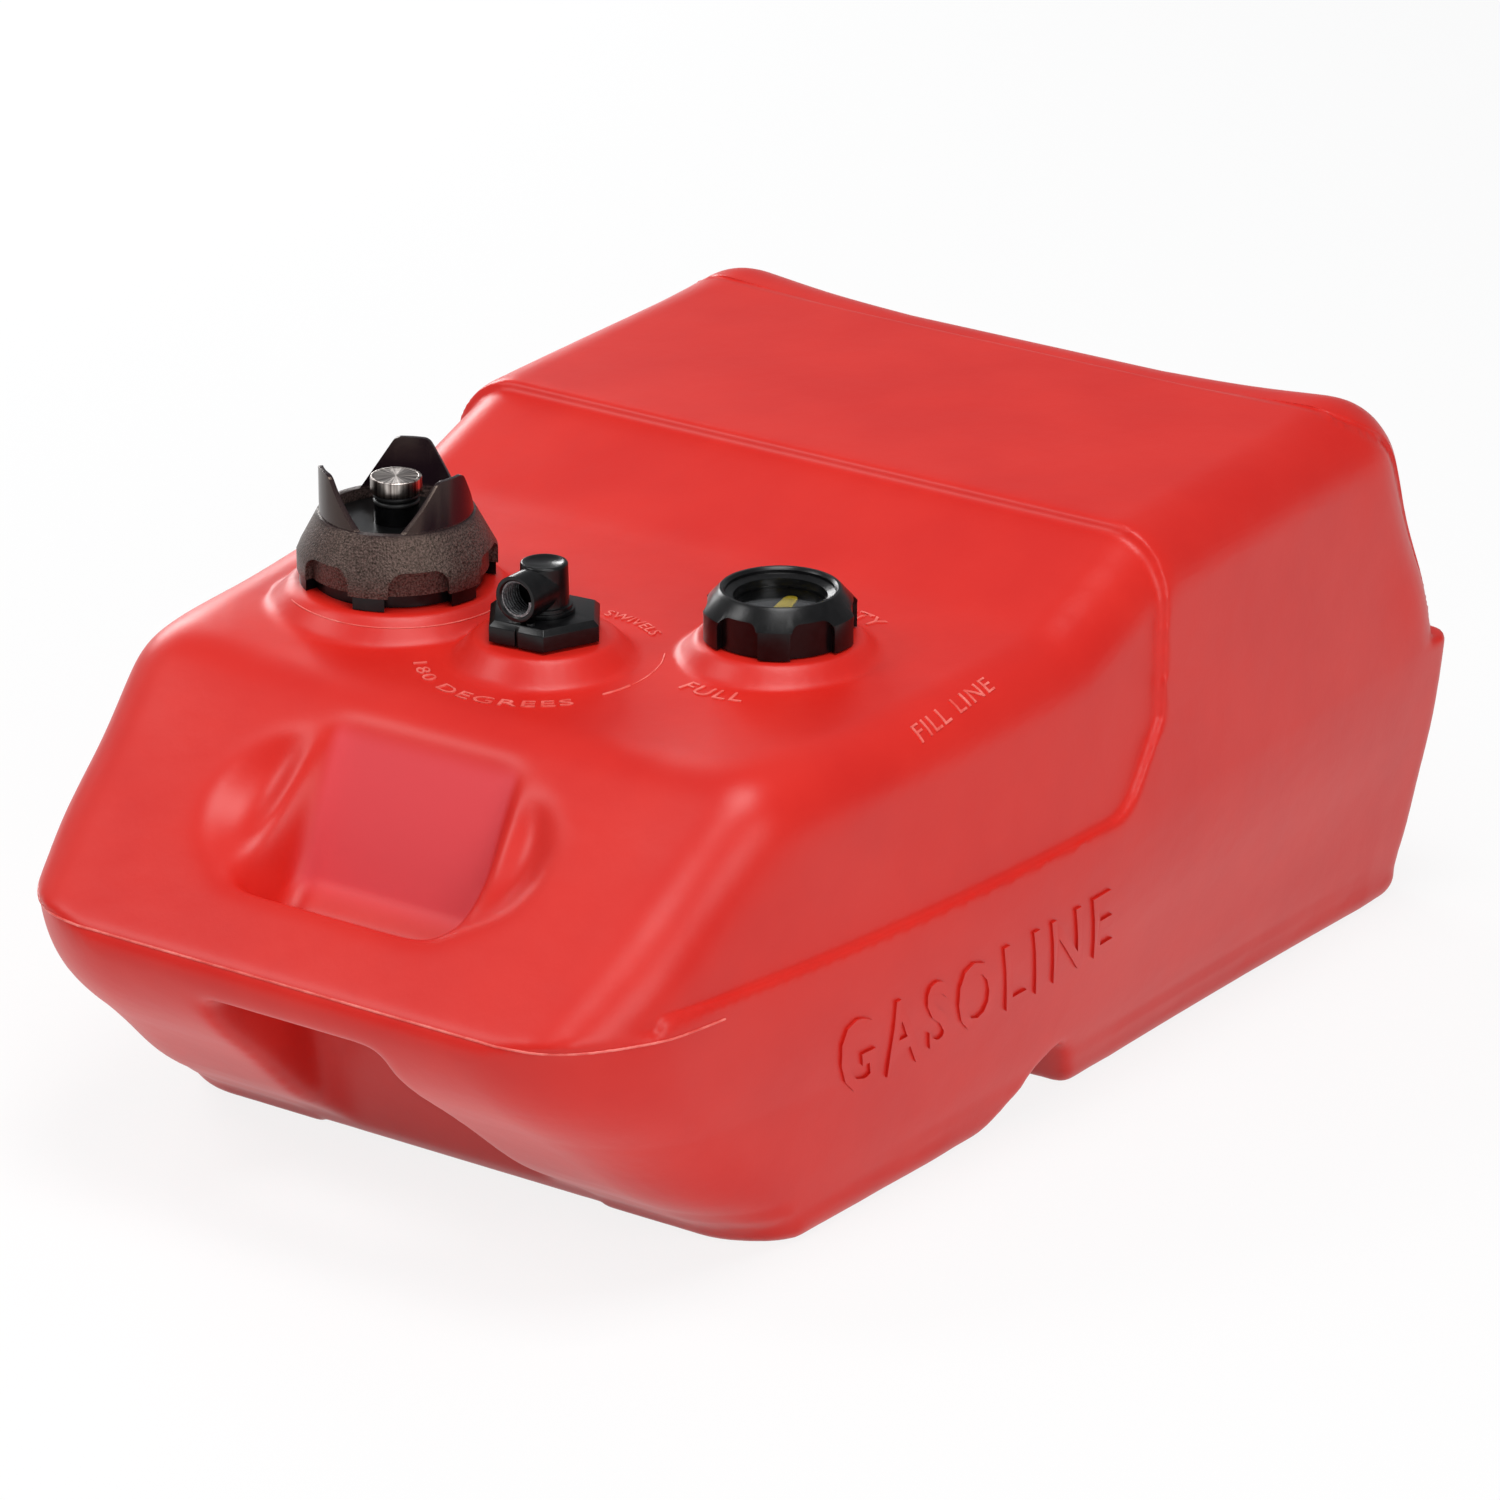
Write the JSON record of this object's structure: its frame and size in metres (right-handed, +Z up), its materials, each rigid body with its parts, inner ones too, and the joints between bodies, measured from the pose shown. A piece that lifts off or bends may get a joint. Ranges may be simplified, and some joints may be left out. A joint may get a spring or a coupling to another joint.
{
  "type": "outboard fuel tank",
  "caption": "Portable moulded fuel tank with a front carrying handle, a vented screw cap, a swivelling threaded outlet elbow with pickup tube and a twisted-strip float gauge.",
  "frame": {"origin": "on the floor, under the middle of the tank's bounding box", "axes": "+Y towards the rear of the tank, away from the carrying handle; +Z up; +X to the right when looking along +Y"},
  "size_m": [0.344, 0.5493, 0.243],
  "materials": {
    "tank_red": "moulded polyethylene, satin",
    "cap_brown_black": "moulded, fine texture",
    "black_plastic": "moulded, satin",
    "knob_steel": "turned and brushed",
    "seal_rubber": "moulded",
    "clear_window": "clear, polished",
    "pointer_yellow": "moulded",
    "gauge_alloy": "drawn",
    "natural_plastic": "moulded"
  },
  "bodies": {
    "tank": {"tank_shell": "tank_red", "outlet_gasket": "seal_rubber", "outlet_hex_base": "black_plastic", "elbow_snap_ring": "knob_steel", "pickup_tube": "natural_plastic", "pickup_strainer": "natural_plastic", "gauge_gasket": "seal_rubber", "gauge_head": "black_plastic", "gauge_window": "clear_window", "gauge_dial": "black_plastic", "float_guide_rod_left": "gauge_alloy", "float_guide_rod_right": "gauge_alloy", "float_guide_foot": "natural_plastic"},
    "cap_seat": {"fill_cap_gasket": "seal_rubber"},
    "fill_cap": {"fill_cap_insert": "black_plastic", "fill_cap_shell": "cap_brown_black"},
    "vent_seat": {"vent_seal": "seal_rubber"},
    "vent_screw": {"vent_stem": "knob_steel", "vent_knob": "knob_steel"},
    "elbow": {"outlet_elbow": "black_plastic", "elbow_o_ring": "seal_rubber"},
    "gauge_seat": {"gauge_slip_washer": "black_plastic"},
    "gauge_nut": {"gauge_ring": "black_plastic"},
    "float": {"gauge_float": "natural_plastic"},
    "pointer_spindle": {"gauge_spindle": "gauge_alloy", "gauge_pointer": "pointer_yellow"}
  },
  "joints": [
    {"name": "fill_cap_lift", "type": "slide", "parent": "tank", "child": "cap_seat", "axis": [0, 0, 1], "range_m": [0, 0.009]},
    {"name": "fill_cap_turn", "type": "hinge", "parent": "cap_seat", "child": "fill_cap", "pos_m": [-0.0796, -0.0969, 0.196], "axis": [0, 0, 1], "range_deg": [0, 540]},
    {"name": "vent_lift", "type": "slide", "parent": "fill_cap", "child": "vent_seat", "axis": [0, 0, 1], "range_m": [0, 0.002]},
    {"name": "vent_turn", "type": "hinge", "parent": "vent_seat", "child": "vent_screw", "pos_m": [-0.0796, -0.0969, 0.23], "axis": [0, 0, 1], "range_deg": [0, 720]},
    {"name": "elbow_swivel", "type": "hinge", "parent": "tank", "child": "elbow", "pos_m": [0, -0.1114, 0.205], "axis": [0, 0, 1], "range_deg": [-90, 90]},
    {"name": "gauge_ring_lift", "type": "slide", "parent": "tank", "child": "gauge_seat", "axis": [0, 0, 1], "range_m": [0, 0.0045]},
    {"name": "gauge_ring_turn", "type": "hinge", "parent": "gauge_seat", "child": "gauge_nut", "pos_m": [0.0724, -0.0625, 0.205], "axis": [0, 0, 1], "range_deg": [0, 540]},
    {"name": "float_slide", "type": "slide", "parent": "tank", "child": "float", "axis": [0, 0, 1], "range_m": [0, 0.13]},
    {"name": "spindle_turn", "type": "hinge", "parent": "tank", "child": "pointer_spindle", "pos_m": [0.0724, -0.0625, 0.1], "axis": [0, 0, 1], "range_deg": [-250, 0]}
  ],
  "couplings": [
    {"joint": "fill_cap_turn", "follows": "fill_cap_lift", "rad_per_m": 1047.2},
    {"joint": "vent_turn", "follows": "vent_lift", "rad_per_m": 6283.2},
    {"joint": "gauge_ring_turn", "follows": "gauge_ring_lift", "rad_per_m": 2094.4},
    {"joint": "spindle_turn", "follows": "float_slide", "rad_per_m": -33.564}
  ]
}
